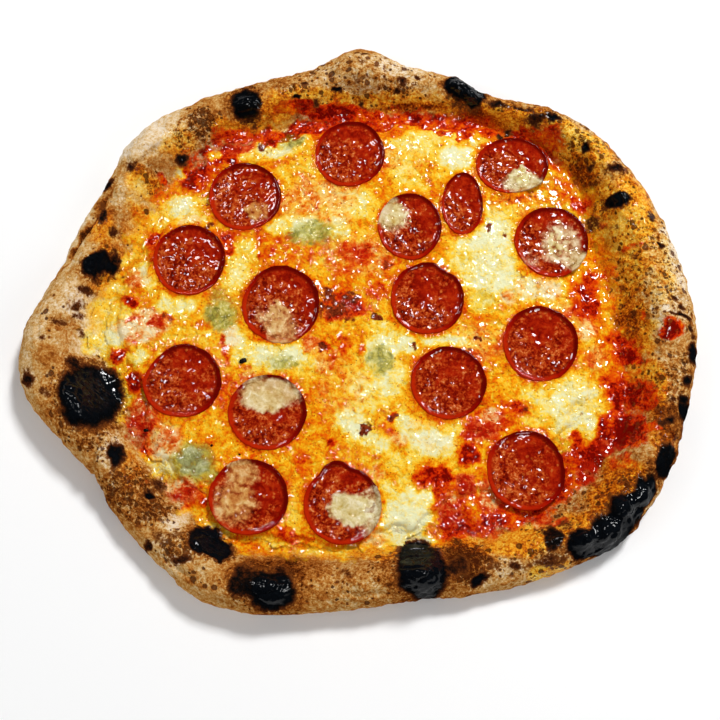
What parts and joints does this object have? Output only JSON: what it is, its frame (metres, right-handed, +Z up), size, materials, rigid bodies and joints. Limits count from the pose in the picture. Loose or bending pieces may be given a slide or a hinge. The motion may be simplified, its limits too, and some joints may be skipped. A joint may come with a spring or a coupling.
{
  "type": "diavola pizza",
  "caption": "Whole hand-shaped pizza with a puffed, blistered rim, tomato sauce, melted mozzarella, slices of spicy salami and melted blue cheese.",
  "frame": {"origin": "on the flat underside, under the middle of the pizza", "axes": "+Z up out of the toppings, +X to the right and +Y away from the viewer as the pizza is usually seen"},
  "size_m": [0.3412, 0.2976, 0.0302],
  "materials": {
    "dough": "matt baked dough, floury outside, browned on the ridge and charred on the blisters",
    "tomato_sauce": "wet crushed tomato",
    "mozzarella": "melted, mottled with orange oil",
    "salami": "oily, mottled with fat, darker at the edge",
    "blue_cheese": "melted, grey-green",
    "cheese_flow": "thin melted cheese with red oil under it"
  },
  "bodies": {
    "root": {"crust": "dough", "tomato_sauce": "tomato_sauce", "mozzarella": "mozzarella", "salami_01": "salami", "salami_02": "salami", "salami_03": "salami", "salami_04": "salami", "salami_05": "salami", "salami_06": "salami", "salami_07": "salami", "salami_08": "salami", "salami_09": "salami", "salami_10": "salami", "salami_11": "salami", "salami_12": "salami", "salami_13": "salami", "salami_14": "salami", "salami_15": "salami", "salami_16": "salami", "blue_cheese_1": "blue_cheese", "blue_cheese_2": "blue_cheese", "blue_cheese_3": "blue_cheese", "blue_cheese_4": "blue_cheese", "blue_cheese_5": "blue_cheese", "blue_cheese_6": "blue_cheese", "cheese_flow_02": "cheese_flow", "cheese_flow_04": "cheese_flow", "cheese_flow_06": "cheese_flow", "cheese_flow_07": "cheese_flow", "cheese_flow_08": "cheese_flow", "cheese_flow_09": "cheese_flow", "cheese_flow_11": "cheese_flow", "cheese_flow_12": "cheese_flow"}
  },
  "joints": []
}
